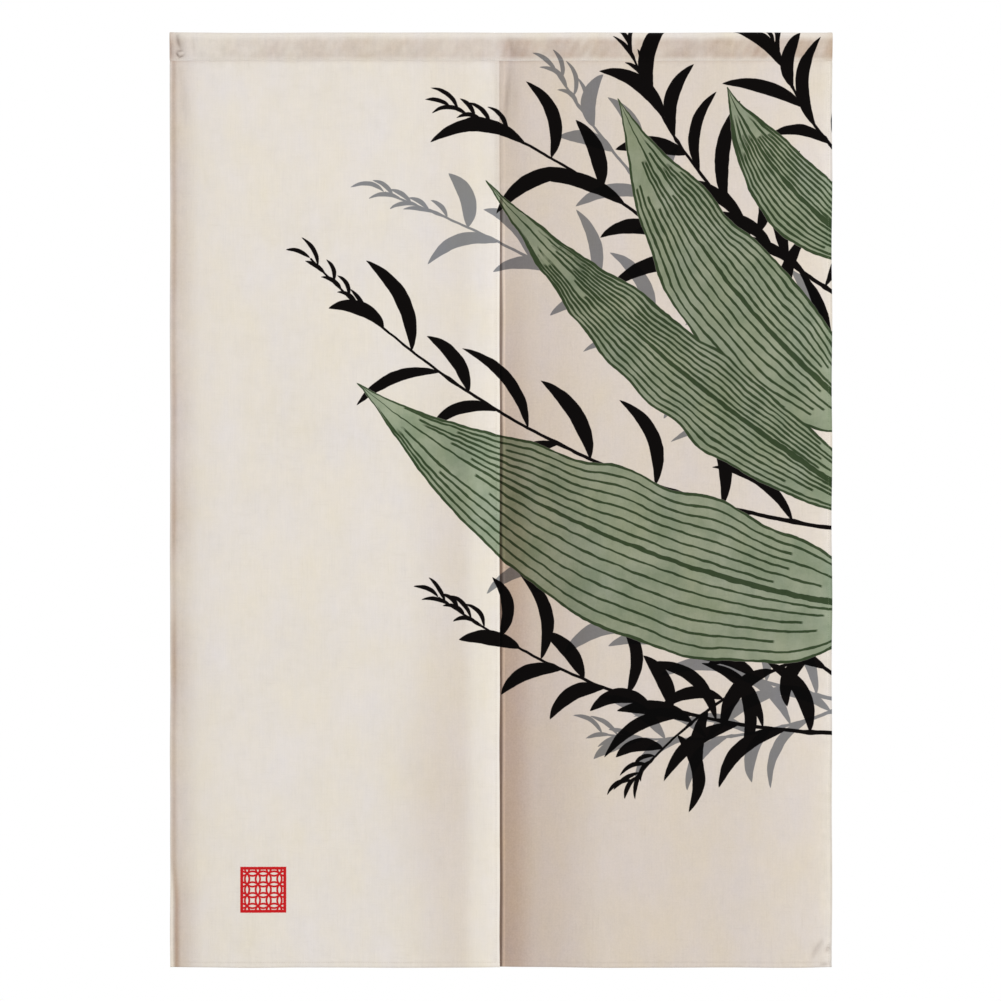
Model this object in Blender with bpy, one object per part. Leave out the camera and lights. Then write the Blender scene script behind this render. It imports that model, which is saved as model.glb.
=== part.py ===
"""Noren curtain: two hemmed cloth panels that hang from one rod pocket, parted by a slit.

Metres, +Z up. +X is to the right as seen from the front, and the front faces -Y.
The origin is the middle of the pocket's crown, the line by which the curtain hangs.
"""

from collections import namedtuple

import bmesh
import bpy
import numpy as np

# The whole curtain
WIDTH = 0.850
DROP = 1.200
CLEARANCE = 0.0003

# Cloth: one layer, and a hem of folded layers
CLOTH = 0.0010
HEM = 0.0016
SIDE_HEM_WIDTH = 0.0055
FOOT_HEM_WIDTH = 0.0075
HEM_STEP = 0.0008

# Rod pocket
POCKET_DROP = 0.036
POCKET_RADIUS = 0.0065
POCKET_LIP = 0.0030
POCKET_ARC_STEPS = 12
POCKET_LENGTHS = 10
POCKET_SLACK = 0.0005
POCKET_SLACK_WAVES = 3

# Slit between the panels: sewn from the pocket down to its head, open below
SLIT_ACROSS = -0.0020
SLIT_HEAD = -0.215
LAP = 0.0050
LAP_REACH = 0.020

# Grid of one panel
PANEL_COLUMNS = 16
PANEL_ROWS = 30

# A fold stands back from the curtain's plane by three depths: at the pocket, at the height of
# the slit's head and at the foot. A minus depth stands forward. across is the line that the
# fold runs along, lean is how far that line has moved across at the foot, and reach is the
# distance over which the fold dies away.
Fold = namedtuple("Fold", "across lean reach at_pocket at_slit_head at_foot")

LEFT_FOLDS = (
    Fold(across=-0.425, lean=0.000, reach=0.027, at_pocket=0.0006, at_slit_head=0.0042, at_foot=0.0062),
    Fold(across=-0.345, lean=0.012, reach=0.045, at_pocket=0.0, at_slit_head=-0.0004, at_foot=-0.0012),
    Fold(across=-0.215, lean=-0.020, reach=0.060, at_pocket=0.0, at_slit_head=0.0006, at_foot=0.0018),
    Fold(across=-0.095, lean=0.015, reach=0.050, at_pocket=0.0, at_slit_head=-0.0005, at_foot=-0.0016),
    Fold(across=-0.003, lean=0.000, reach=0.018, at_pocket=0.0004, at_slit_head=0.0020, at_foot=0.0042),
)

RIGHT_FOLDS = (
    Fold(across=-0.003, lean=0.000, reach=0.075, at_pocket=0.0004, at_slit_head=0.0030, at_foot=0.0105),
    Fold(across=0.150, lean=-0.020, reach=0.050, at_pocket=0.0, at_slit_head=-0.0008, at_foot=-0.0026),
    Fold(across=0.255, lean=0.010, reach=0.045, at_pocket=0.0, at_slit_head=0.0007, at_foot=0.0022),
    Fold(across=0.345, lean=-0.010, reach=0.045, at_pocket=0.0, at_slit_head=-0.0006, at_foot=-0.0018),
    Fold(across=0.425, lean=0.000, reach=0.025, at_pocket=0.0006, at_slit_head=0.0035, at_foot=0.0050),
)

CLOTH_COLOUR = (0.737, 0.679, 0.592, 1.0)
POCKET_COLOUR = (0.520, 0.460, 0.376, 1.0)
CLOTH_ROUGHNESS = 0.92


def clear_scene():
    """Remove every object, so that only the curtain is left."""
    for item in list(bpy.data.objects):
        bpy.data.objects.remove(item, do_unlink=True)


def cloth_material(name, colour):
    """A dull cotton and linen finish of one colour."""
    material = bpy.data.materials.new(name)
    material.use_nodes = True
    shader = material.node_tree.nodes["Principled BSDF"]
    shader.inputs["Base Color"].default_value = colour
    shader.inputs["Roughness"].default_value = CLOTH_ROUGHNESS
    shader.inputs["Metallic"].default_value = 0.0
    return material


def place(name, mesh, material):
    """Put a finished mesh into the scene as one named, smooth-shaded piece."""
    piece = bpy.data.objects.new(name, mesh)
    bpy.context.scene.collection.objects.link(piece)
    mesh.materials.append(material)
    mesh.shade_smooth()
    mesh.set_sharp_from_angle(angle=np.radians(35.0))
    return piece


def eased(low, high, value):
    """0 below low, 1 above high, and a smooth step between them."""
    share = np.clip((value - low) / (high - low), 0.0, 1.0)
    return share * share * (3.0 - 2.0 * share)


def fold_depth(fold, height):
    """A fold's set-back at each height, eased from the pocket to the slit's head to the foot."""
    to_head = eased(POCKET_DROP, -SLIT_HEAD, -height)
    to_foot = eased(-SLIT_HEAD, DROP, -height)
    return (
        fold.at_pocket
        + (fold.at_slit_head - fold.at_pocket) * to_head
        + (fold.at_foot - fold.at_slit_head) * to_foot
    )


def hang(across, height, folds, lap_side):
    """How far the cloth's middle stands back from the curtain's plane.

    Each fold is a bell across the cloth, and the lap keeps the two slit edges a hem apart.
    """
    down = -height / DROP
    back = lap_side * 0.5 * (HEM + CLEARANCE) * np.exp(-(((across - SLIT_ACROSS) / LAP_REACH) ** 4))
    for fold in folds:
        line = fold.across + fold.lean * down
        back = back + fold_depth(fold, height) * np.exp(-(((across - line) / fold.reach) ** 2))
    return back


def column_places(start, end):
    """Places across a panel, with a line at each side hem and closer columns near the edges."""
    inner_start = start + SIDE_HEM_WIDTH + HEM_STEP
    inner_end = end - SIDE_HEM_WIDTH - HEM_STEP
    share = np.linspace(0.0, 1.0, PANEL_COLUMNS)
    crowded = share - 0.11 * np.sin(2.0 * np.pi * share)
    middle = inner_start + (inner_end - inner_start) * crowded
    return np.concatenate(([start, start + SIDE_HEM_WIDTH], middle, [end - SIDE_HEM_WIDTH, end]))


def row_places():
    """Heights down a panel, from just under the pocket to the foot, with a line at the hem."""
    top = -(POCKET_DROP + CLEARANCE)
    hem_line = -DROP + FOOT_HEM_WIDTH
    middle = np.linspace(top, hem_line + HEM_STEP, PANEL_ROWS)
    return np.concatenate((middle, [hem_line, -DROP]))


def panel(name, start, end, folds, lap_side, material):
    """One cloth panel: a folded grid, given its thickness, a little thicker along its hems."""
    columns = column_places(start, end)
    rows = row_places()
    across, height = np.meshgrid(columns, rows)
    back = hang(across, height, folds, lap_side)
    points = np.stack([across, back, height], axis=-1).reshape(-1, 3)
    wide = len(columns)
    corner = np.arange(wide * len(rows)).reshape(len(rows), wide)
    quads = np.stack(
        [corner[1:, :-1], corner[1:, 1:], corner[:-1, 1:], corner[:-1, :-1]], axis=-1
    ).reshape(-1, 4)

    mesh = bpy.data.meshes.new(name)
    mesh.from_pydata(points.tolist(), [], quads.tolist())
    piece = place(name, mesh, material)

    on_side_hem = (across <= columns[1]) | (across >= columns[-2])
    on_foot_hem = height <= rows[-2]
    hemmed = np.flatnonzero((on_side_hem | on_foot_hem).reshape(-1))
    group = piece.vertex_groups.new(name="hem")
    group.add(hemmed.tolist(), 1.0, "REPLACE")

    thickness = piece.modifiers.new("Cloth", "SOLIDIFY")
    thickness.thickness = HEM
    thickness.offset = 0.0
    thickness.vertex_group = group.name
    thickness.thickness_vertex_group = CLOTH / HEM
    return piece


def pocket_section():
    """The pocket's outline, seen from its end, as (back, height) points.

    A round crown runs down in two straight sides to a lip, where both layers are stitched
    together. The outer and inner outlines share the crown's centre and the sides' slope.
    """
    lip_top = -(POCKET_DROP - POCKET_LIP)
    run = np.hypot(CLOTH, POCKET_RADIUS + lip_top)
    lip_angle = np.arctan2(CLOTH, POCKET_RADIUS + lip_top)
    tangent = lip_angle - np.arccos(POCKET_RADIUS / run)
    angles = np.linspace(-tangent, tangent, POCKET_ARC_STEPS + 1)

    def arc(radius):
        return [(radius * np.sin(a), radius * np.cos(a) - POCKET_RADIUS) for a in angles]

    outer = arc(POCKET_RADIUS)
    inner = arc(POCKET_RADIUS - CLOTH)
    apex = (0.0, lip_top + CLOTH * (np.sin(tangent) - 1.0) / np.cos(tangent))
    lip = [(CLOTH, lip_top), (CLOTH, -POCKET_DROP), (-CLOTH, -POCKET_DROP), (-CLOTH, lip_top)]
    return outer, inner, apex, lip


def pocket_slack(across):
    """How much slacker the pocket is at each place along it, so that it isn't a drawn tube."""
    turn = across / WIDTH + 0.5
    wave = np.sin(2.0 * np.pi * (POCKET_SLACK_WAVES * turn + 0.15))
    return 1.0 + wave * POCKET_SLACK / POCKET_RADIUS


def rod_pocket(name, material):
    """The heading folded over and stitched: its end is filled, then drawn out along X."""
    outer, inner, apex, lip = pocket_section()
    mesh_maker = bmesh.new()

    def points_at(outline):
        return [mesh_maker.verts.new((-0.5 * WIDTH, back, height)) for back, height in outline]

    outer_points = points_at(outer)
    inner_points = points_at(inner)
    apex_point = points_at([apex])[0]
    lip_points = points_at(lip)
    faces = []
    for step in range(POCKET_ARC_STEPS):
        near, far = step, step + 1
        faces.append((outer_points[near], outer_points[far], inner_points[far], inner_points[near]))
    faces.append((outer_points[-1], lip_points[0], apex_point, inner_points[-1]))
    faces.append((lip_points[3], outer_points[0], inner_points[0], apex_point))
    faces.append((lip_points[0], lip_points[1], lip_points[2], lip_points[3], apex_point))
    region = [mesh_maker.faces.new(face) for face in faces]

    for length in range(POCKET_LENGTHS):
        drawn = bmesh.ops.extrude_face_region(mesh_maker, geom=region)["geom"]
        if length > 0:
            bmesh.ops.delete(mesh_maker, geom=region, context="FACES_ONLY")
        region = [item for item in drawn if isinstance(item, bmesh.types.BMFace)]
        moved = [item for item in drawn if isinstance(item, bmesh.types.BMVert)]
        bmesh.ops.translate(mesh_maker, vec=(WIDTH / POCKET_LENGTHS, 0.0, 0.0), verts=moved)
    for point in mesh_maker.verts:
        above_lip = eased(-POCKET_DROP, -POCKET_RADIUS, point.co.z)
        point.co.y *= 1.0 + (pocket_slack(point.co.x) - 1.0) * above_lip
    bmesh.ops.recalc_face_normals(mesh_maker, faces=mesh_maker.faces)

    mesh = bpy.data.meshes.new(name)
    mesh_maker.to_mesh(mesh)
    mesh_maker.free()
    return place(name, mesh, material)


def main():
    """Build the three pieces where they hang."""
    clear_scene()
    cloth = cloth_material("cloth", CLOTH_COLOUR)
    heading = cloth_material("heading", POCKET_COLOUR)
    rod_pocket("rod_pocket", heading)
    panel("panel_left", -0.5 * WIDTH, SLIT_ACROSS, LEFT_FOLDS, -1.0, cloth)
    panel("panel_right", SLIT_ACROSS - LAP, 0.5 * WIDTH, RIGHT_FOLDS, 1.0, cloth)


main()
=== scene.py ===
"""Noren curtain, dressed: two printed cloth panels below a rod pocket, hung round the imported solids.

Metres, +Z up, +X to the right as seen from the front, and the front faces -Y. Each cloth is a
thin closed sheet on the middle of its solid, with hems, creases and puckers. Its print is drawn
by the material from distances that are worked out for every point of the cloth.
"""

import logging
from collections.abc import Iterable, Sequence
from dataclasses import dataclass, field
from enum import Enum

import bpy
import numpy as np
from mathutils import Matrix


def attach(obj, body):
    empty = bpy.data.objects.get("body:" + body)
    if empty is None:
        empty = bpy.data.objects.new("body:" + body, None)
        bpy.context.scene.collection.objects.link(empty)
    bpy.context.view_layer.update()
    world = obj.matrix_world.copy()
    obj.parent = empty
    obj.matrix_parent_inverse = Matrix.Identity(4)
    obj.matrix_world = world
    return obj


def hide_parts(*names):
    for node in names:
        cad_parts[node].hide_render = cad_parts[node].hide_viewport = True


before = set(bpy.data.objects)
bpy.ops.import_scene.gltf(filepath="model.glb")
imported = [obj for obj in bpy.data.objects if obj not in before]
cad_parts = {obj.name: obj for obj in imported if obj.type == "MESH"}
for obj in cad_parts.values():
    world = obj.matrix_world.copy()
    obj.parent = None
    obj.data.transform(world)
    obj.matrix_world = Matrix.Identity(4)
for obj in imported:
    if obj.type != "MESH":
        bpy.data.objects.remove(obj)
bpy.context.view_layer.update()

LOG = logging.getLogger("noren")
Array = np.ndarray
Colour = tuple[float, float, float]

# Sizes shared by the pieces, the same as the solids'
WIDTH = 0.850
HALF_WIDTH = 0.5 * WIDTH
DROP = 1.200
POCKET_DROP = 0.036
POCKET_RADIUS = 0.0065
SLIT_ACROSS = -0.0020
SLIT_EDGE = -0.0016
SLIT_HEAD = -0.215
LAP = 0.0050
LAP_REACH = 0.020
LAP_APART = 0.0019

# Thickness of one layer as modelled, a little over real cloth's, and of a pressed hem
LAYER = 0.0007
HEM_LAYERS = 0.0015

# How far a rim stands out, as a share of half the thickness
RIM = 0.8

# Hems: their widths, the step at their edge, and the lines of stitches from the cloth's edge
SIDE_HEM = 0.0055
FOOT_HEM = 0.0075
HEM_STEP = 0.0008
SIDE_STITCH = 0.0046
FOOT_STITCH = 0.0065

# Spacing of the cloths' points, with closer lines where a hem is stitched
PITCH = 0.0034
HEM_LINES = (0.0, 0.0008, 0.0020, 0.0034, 0.0044, 0.0052, 0.0060, 0.0070, 0.0086, 0.0108, 0.0136)
FOOT_LINES = (0.0, 0.0009, 0.0026, 0.0046, 0.0062, 0.0072, 0.0080, 0.0092, 0.0112, 0.0140)
TOP_LINES = (0.0, 0.0012, 0.0030)


def eased(low: float, high: float, value: Array) -> Array:
    """0 below low, 1 above high, and a smooth step between them."""
    share = np.clip((value - low) / (high - low), 0.0, 1.0)
    return share * share * (3.0 - 2.0 * share)


def bell(value: Array) -> Array:
    """1 at nought, falling away on both sides as exp of minus the square."""
    return np.exp(-(value**2))


def unit(vectors: Array) -> Array:
    """The same directions, each of length 1."""
    return vectors / np.linalg.norm(vectors, axis=-1, keepdims=True)


def ripple(seed: int, length: float, *places: Array) -> Array:
    """Uneven waves: a sum of sines whose directions, lengths and phases are drawn from a seed.

    Args:
        seed: start of the random draws.
        length: the usual wavelength, in the places' own units.
        places: one or two arrays of coordinates of one shape.

    Returns:
        An array of that shape, mostly between -1 and 1.
    """
    draws = np.random.default_rng(seed)
    waves = 9
    total = np.zeros_like(places[0], dtype=float)
    for _ in range(waves):
        turn = draws.uniform(0.0, np.pi)
        step = 2.0 * np.pi / (length * draws.uniform(0.6, 1.7))
        ways = (np.cos(turn), np.sin(turn)) if len(places) > 1 else (1.0,)
        along = sum(way * place for way, place in zip(ways, places))
        total += np.sin(step * along + draws.uniform(0.0, 2.0 * np.pi))
    return total / np.sqrt(waves)


def spaced(start: float, end: float, first: Sequence[float], last: Sequence[float]) -> Array:
    """Places from start to end: close lines at both ends and even steps of PITCH between them.

    Args:
        start: the first place.
        end: the last place, on either side of start.
        first: distances of the close lines from start.
        last: distances of the close lines from end.

    Returns:
        The places, in order from start to end.
    """
    way = 1.0 if end > start else -1.0
    near = start + way * np.array(first)
    far = (end - way * np.array(last))[::-1]
    steps = max(2, round(abs(far[0] - near[-1]) / PITCH))
    middle = np.linspace(near[-1], far[0], steps + 1)[1:-1]
    return np.concatenate([near, middle, far])


def write_attribute(mesh: bpy.types.Mesh, name: str, values: Array) -> None:
    """Keep three or four numbers for each point of a mesh under a name."""
    wide = values.shape[-1]
    kind, key = ("FLOAT_VECTOR", "vector") if wide == 3 else ("FLOAT_COLOR", "color")
    made = mesh.attributes.new(name, kind, "POINT")
    made.data.foreach_set(key, values.reshape(-1).astype(np.float32))


def put_mesh(name: str, points: Array, faces: Array) -> bpy.types.Object:
    """A smooth-shaded object from an array of points and an array of four-cornered faces."""
    mesh = bpy.data.meshes.new(name)
    mesh.from_pydata(points.reshape(-1, 3), [], faces.reshape(-1, 4).tolist())
    mesh.shade_smooth()
    piece = bpy.data.objects.new(name, mesh)
    bpy.context.scene.collection.objects.link(piece)
    return piece


# Shader maths


class Num:
    """A number that flows through a material's nodes, with Python's operators."""

    def __init__(self, bench: "Bench", socket: bpy.types.NodeSocket) -> None:
        """Wrap one output socket of a bench's material."""
        self.bench = bench
        self.socket = socket

    def maths(self, operation: str, *others: "Num | float", clamp: bool = False) -> "Num":
        """One Math node on this number and the others, in order."""
        return self.bench.maths(operation, self, *others, clamp=clamp)

    def __add__(self, other: "Num | float") -> "Num":
        """Sum."""
        return self.maths("ADD", other)

    __radd__ = __add__

    def __mul__(self, other: "Num | float") -> "Num":
        """Product."""
        return self.maths("MULTIPLY", other)

    __rmul__ = __mul__

    def __sub__(self, other: "Num | float") -> "Num":
        """Difference."""
        return self.maths("SUBTRACT", other)

    def __rsub__(self, other: float) -> "Num":
        """Difference from a plain number."""
        return self.bench.maths("SUBTRACT", other, self)

    def __truediv__(self, other: "Num | float") -> "Num":
        """Quotient."""
        return self.maths("DIVIDE", other)

    def __abs__(self) -> "Num":
        """Size without sign."""
        return self.maths("ABSOLUTE")

    def __mod__(self, other: float) -> "Num":
        """Remainder that is never below nought."""
        return self.maths("FLOORED_MODULO", other)

    def floor(self) -> "Num":
        """Whole number below."""
        return self.maths("FLOOR")

    def sine(self) -> "Num":
        """Sine of an angle in radians."""
        return self.maths("SINE")

    def most(self, other: "Num | float") -> "Num":
        """The greater of two numbers."""
        return self.maths("MAXIMUM", other)

    def least(self, other: "Num | float") -> "Num":
        """The smaller of two numbers."""
        return self.maths("MINIMUM", other)

    def mask(self, blur: float) -> "Num":
        """1 where the number is above nought, 0 below, with a soft edge of the given width."""
        return self.maths("MULTIPLY_ADD", 1.0 / blur, 0.5, clamp=True)


Feed = Num | bpy.types.NodeSocket | float | Sequence[float]


class Bench:
    """One material under construction: it makes nodes and joins them."""

    def __init__(self, name: str) -> None:
        """Start an empty material."""
        self.material = bpy.data.materials.new(name)
        self.material.use_nodes = True
        self.tree = self.material.node_tree
        self.tree.nodes.clear()

    def node(
        self, kind: str, settings: dict[str, object] | None = None, feeds: dict[str | int, Feed] | None = None
    ) -> bpy.types.Node:
        """Make one node.

        Args:
            kind: the node's type without its ShaderNode prefix.
            settings: properties that are set before anything is joined.
            feeds: a value or a link for each named or numbered input.

        Returns:
            The node.
        """
        made = self.tree.nodes.new(f"ShaderNode{kind}")
        for key, value in (settings or {}).items():
            setattr(made, key, value)
        for key, value in (feeds or {}).items():
            source = value.socket if isinstance(value, Num) else value
            if isinstance(source, bpy.types.NodeSocket):
                self.tree.links.new(source, made.inputs[key])
            else:
                made.inputs[key].default_value = source
        return made

    def maths(self, operation: str, *values: "Num | float", clamp: bool = False) -> Num:
        """One Math node on the values, in order."""
        settings = {"operation": operation, "use_clamp": clamp}
        return Num(self, self.node("Math", settings, dict(enumerate(values))).outputs[0])

    def stored(self, name: str) -> tuple[Num, Num, Num, Num]:
        """The numbers kept for each point under a name: three, and a fourth for four-part values."""
        source = self.node("Attribute", {"attribute_name": name})
        parts = self.node("SeparateXYZ", None, {0: source.outputs["Color"]}).outputs
        return Num(self, parts[0]), Num(self, parts[1]), Num(self, parts[2]), Num(self, source.outputs["Alpha"])

    def joined(self, x: "Num | float", y: "Num | float", z: "Num | float" = 0.0) -> bpy.types.NodeSocket:
        """A vector from three numbers."""
        return self.node("CombineXYZ", None, {0: x, 1: y, 2: z}).outputs[0]

    def noise(self, place: bpy.types.NodeSocket, scale: float, detail: float = 2.0, rough: float = 0.5) -> Num:
        """Soft noise from 0 to 1 around 0.5, at a number of lumps to the metre."""
        feeds = {"Vector": place, "Scale": scale, "Detail": detail, "Roughness": rough}
        return Num(self, self.node("TexNoise", {"noise_dimensions": "3D"}, feeds).outputs[0])

    def chance(self, which: Num) -> Num:
        """A number from 0 to 1 that is the same wherever its argument is the same."""
        made = self.node("TexWhiteNoise", {"noise_dimensions": "1D"}, {"W": which})
        return Num(self, made.outputs["Value"])

    def blend(self, share: "Num | float", under: Feed, over: Feed, way: str = "MIX") -> bpy.types.NodeSocket:
        """Lay one colour over another by a share, in one of the Mix node's ways."""
        settings = {"data_type": "RGBA", "blend_type": way}
        return self.node("Mix", settings, {0: share, 6: solid(under), 7: solid(over)}).outputs[2]

    def finish(self, surface: dict[str, Feed]) -> bpy.types.Material:
        """Close the material with one Principled shader, given its inputs."""
        shader = self.node("BsdfPrincipled", None, surface)
        self.node("OutputMaterial", None, {"Surface": shader.outputs[0]})
        return self.material


def solid(colour: Feed) -> Feed:
    """A plain colour with its alpha added, and anything else as it is."""
    return (*colour, 1.0) if isinstance(colour, tuple) else colour


# The way the cloth hangs


@dataclass(frozen=True)
class Fold:
    """A long fold: a bell across the cloth whose set-back is eased from pocket to slit to foot."""

    across: float
    lean: float
    reach: float
    at_pocket: float
    at_slit_head: float
    at_foot: float

    def set_back(self, across: Array, height: Array) -> Array:
        """How far the fold stands back from the curtain's plane at each place."""
        line = self.across - self.lean * height / DROP
        to_head = eased(POCKET_DROP, -SLIT_HEAD, -height)
        to_foot = eased(-SLIT_HEAD, DROP, -height)
        depth = self.at_pocket + (self.at_slit_head - self.at_pocket) * to_head
        depth = depth + (self.at_foot - self.at_slit_head) * to_foot
        return depth * bell((across - line) / self.reach)


# Folds: across, lean, reach, and the set-back at the pocket, the slit's head and the foot
LEFT_FOLDS = (
    Fold(-0.425, 0.000, 0.027, 0.0006, 0.0042, 0.0062),
    Fold(-0.345, 0.012, 0.045, 0.0, -0.0004, -0.0012),
    Fold(-0.215, -0.020, 0.060, 0.0, 0.0006, 0.0018),
    Fold(-0.095, 0.015, 0.050, 0.0, -0.0005, -0.0016),
    Fold(-0.003, 0.000, 0.018, 0.0004, 0.0020, 0.0042),
)

RIGHT_FOLDS = (
    Fold(-0.003, 0.000, 0.075, 0.0004, 0.0030, 0.0105),
    Fold(0.150, -0.020, 0.050, 0.0, -0.0008, -0.0026),
    Fold(0.255, 0.010, 0.045, 0.0, 0.0007, 0.0022),
    Fold(0.345, -0.010, 0.045, 0.0, -0.0006, -0.0018),
    Fold(0.425, 0.000, 0.025, 0.0006, 0.0035, 0.0050),
)


@dataclass(frozen=True)
class Crease:
    """A short trough, or a ridge where depth is below nought, from one place to another."""

    start: tuple[float, float]
    end: tuple[float, float]
    reach: float
    depth: float
    # How dark the painted shade in the crease is
    painted_shade: float = 0.0

    def strength(self, across: Array, height: Array) -> Array:
        """A bell of the distance from the crease's line, dying away towards both its ends."""
        run = np.subtract(self.end, self.start)
        length = np.hypot(*run)
        off_x, off_z = across - self.start[0], height - self.start[1]
        along = (off_x * run[0] + off_z * run[1]) / length**2
        held = np.clip(along, 0.0, 1.0)
        away = np.hypot(off_x - held * run[0], off_z - held * run[1])
        inside = np.sin(np.pi * np.clip(0.12 + 0.76 * along, 0.0, 1.0))
        return bell(away / self.reach) * inside

    def set_back(self, across: Array, height: Array) -> Array:
        """How far the crease stands back at each place."""
        return self.depth * self.strength(across, height)


def crease_shade(creases: Iterable[Crease], across: Array, height: Array) -> Array:
    """How much painted shade darkens each place in the creases: it lies deep in them, so it is narrower."""
    return sum((crease.painted_shade * crease.strength(across, height) ** 2 for crease in creases), np.zeros_like(across))


# Creases: start, end, reach, depth, and painted shade where they are darkened
LEFT_CREASES = (
    Crease((-0.040, -0.060), (-0.031, -0.150), 0.009, 0.0007),
    Crease((-0.4125, -0.040), (-0.4040, -0.120), 0.0060, 0.0013, 0.10),
    Crease((-0.018, -0.1100), (-0.002, -0.1115), 0.0014, 0.0005, 0.40),
    Crease((-0.150, -0.960), (-0.040, -1.010), 0.034, 0.0011),
    Crease((-0.335, -0.300), (-0.250, -0.340), 0.030, -0.0007),
    Crease((-0.300, -0.640), (-0.120, -0.610), 0.036, 0.0007),
    Crease((-0.395, -1.130), (-0.330, -1.180), 0.014, 0.0008),
    Crease((-0.060, -1.120), (-0.020, -1.185), 0.012, -0.0007),
)

RIGHT_CREASES = (
    Crease((0.012, -0.036), (0.003, -0.128), 0.0050, 0.0016, 0.34),
    Crease((0.022, -0.050), (0.016, -0.120), 0.0060, -0.0006, 0.10),
    Crease((0.030, -0.060), (0.034, -0.175), 0.012, -0.0006),
    Crease((-0.004, -0.1115), (0.015, -0.1120), 0.0014, 0.0005, 0.40),
    Crease((0.060, -0.955), (0.320, -0.985), 0.022, 0.0009),
    Crease((0.120, -0.820), (0.235, -0.800), 0.030, -0.0008),
    Crease((0.3970, -1.1910), (0.4110, -1.1650), 0.0038, 0.0036, 0.24),
    Crease((0.4060, -1.1900), (0.4190, -1.1660), 0.0042, -0.0014),
    Crease((0.4170, -1.1820), (0.4215, -1.1720), 0.0034, 0.0032, 0.32),
    Crease((0.4080, -1.1965), (0.4240, -1.1955), 0.0026, 0.0004, 0.40),
    Crease((0.380, -1.060), (0.402, -1.074), 0.010, 0.0006, 0.05),
    Crease((0.290, -0.450), (0.385, -0.520), 0.030, 0.0009),
    Crease((0.060, -0.390), (0.160, -0.350), 0.030, 0.0008),
)

POCKET_CREASES = (
    Crease((0.0095, -0.002), (0.0165, -0.034), 0.0042, 0.0015, 0.28),
    Crease((0.0230, -0.012), (0.0215, -0.034), 0.0032, 0.0007, 0.10),
    Crease((-0.4170, -0.001), (-0.4105, -0.0240), 0.0034, 0.0026, 0.56),
    Crease((-0.4165, -0.0245), (-0.4080, -0.0235), 0.0017, 0.0017, 0.50),
    Crease((-0.4175, -0.0250), (-0.4125, -0.0325), 0.0018, 0.0019, 0.74),
    Crease((-0.4140, -0.0325), (-0.4060, -0.0290), 0.0017, 0.0017, 0.60),
    Crease((-0.4140, -0.0285), (-0.4085, -0.0265), 0.0022, -0.0016),
    Crease((-0.4045, -0.006), (-0.4015, -0.034), 0.0040, -0.0010),
    Crease((-0.3960, -0.008), (-0.3940, -0.030), 0.0034, 0.0008, 0.08),
    Crease((-0.4235, -0.010), (-0.4225, -0.034), 0.0016, 0.0006, 0.22),
)


# The print: leaves, stems and blades, all of them sweeps on the flat cloth


@dataclass(frozen=True)
class Sweep:
    """A curved line on the flat cloth, from root to tip, its middle bowed to the left of the way."""

    root: tuple[float, float]
    tip: tuple[float, float]
    bow: float

    STEPS = 72

    def curve(self, share: Array) -> tuple[Array, Array]:
        """Points and directions at shares of the way.

        The line is the parabola through three control points: root, a middle moved sideways by
        twice the bow, and tip.
        """
        root, tip = np.array(self.root), np.array(self.tip)
        run = tip - root
        middle = 0.5 * (root + tip) + 2.0 * self.bow * np.array([-run[1], run[0]])
        t = share[..., None]
        points = (1 - t) ** 2 * root + 2 * t * (1 - t) * middle + t**2 * tip
        ways = 2 * (1 - t) * (middle - root) + 2 * t * (tip - middle)
        return points, ways

    def follow(self, across: Array, height: Array) -> tuple[Array, Array, float]:
        """How far along the sweep each place is, how far off it to the left, and its length.

        Each place takes the nearest of the sweep's sample points, moves along the line there by
        its own offset, and goes on along the end's direction beyond both ends.
        """
        share = np.linspace(0.0, 1.0, self.STEPS + 1)
        points, _ = self.curve(share)
        lengths = np.concatenate([[0.0], np.cumsum(np.hypot(*np.diff(points, axis=0).T))])
        flat = np.stack([across.ravel(), height.ravel()], axis=-1)
        gaps = np.hypot(flat[:, None, 0] - points[None, :, 0], flat[:, None, 1] - points[None, :, 1])
        guess = share[gaps.argmin(axis=1)]
        for _ in range(2):
            place, way = self.curve(guess)
            step = ((flat - place) * way).sum(axis=1) / (way**2).sum(axis=1)
            guess = np.clip(guess + step, 0.0, 1.0)
        place, way = self.curve(guess)
        unit = way / np.hypot(*way.T)[:, None]
        offset = flat - place
        beyond = (offset * unit).sum(axis=1)
        along = np.interp(guess, share, lengths) + beyond
        aside = unit[:, 0] * offset[:, 1] - unit[:, 1] * offset[:, 0]
        return along.reshape(across.shape), aside.reshape(across.shape), float(lengths[-1])


class Form(Enum):
    """How a sweep's half width runs from root to tip.

    A blade is thin at both ends. A stem thins slowly and thickens at five joints. A leaf is the
    sine of a bent share, full near its root and drawn out to a point.
    """

    BLADE = "blade"
    STEM = "stem"
    LEAF = "leaf"

    def half_width(self, share: Array, widest: float) -> Array:
        """Half widths at shares of the way, for a sweep of the given widest half width."""
        u = np.clip(share, 0.0, 1.0)
        if self is Form.BLADE:
            return widest * 3.02 * u**0.75 * (1.0 - u) ** 0.85
        if self is Form.STEM:
            joint = bell((np.mod(u * 5.0, 1.0) - 0.5) / 0.05)
            return widest * (1.0 - 0.50 * u + 0.35 * joint)
        return widest * np.sin(np.pi * u**0.72) ** (0.72 + 0.50 * u)


@dataclass(frozen=True)
class Stroke:
    """One inked sweep with its form and its widest half width."""

    sweep: Sweep
    form: Form
    widest: float

    def widths(self, along: Array, length: float) -> Array:
        """Half width at each place, running below nought beyond both ends."""
        past = np.maximum(-along, along - length)
        inside = self.form.half_width(along / length, self.widest)
        return np.where(past > 0.0, -past, inside)


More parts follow.
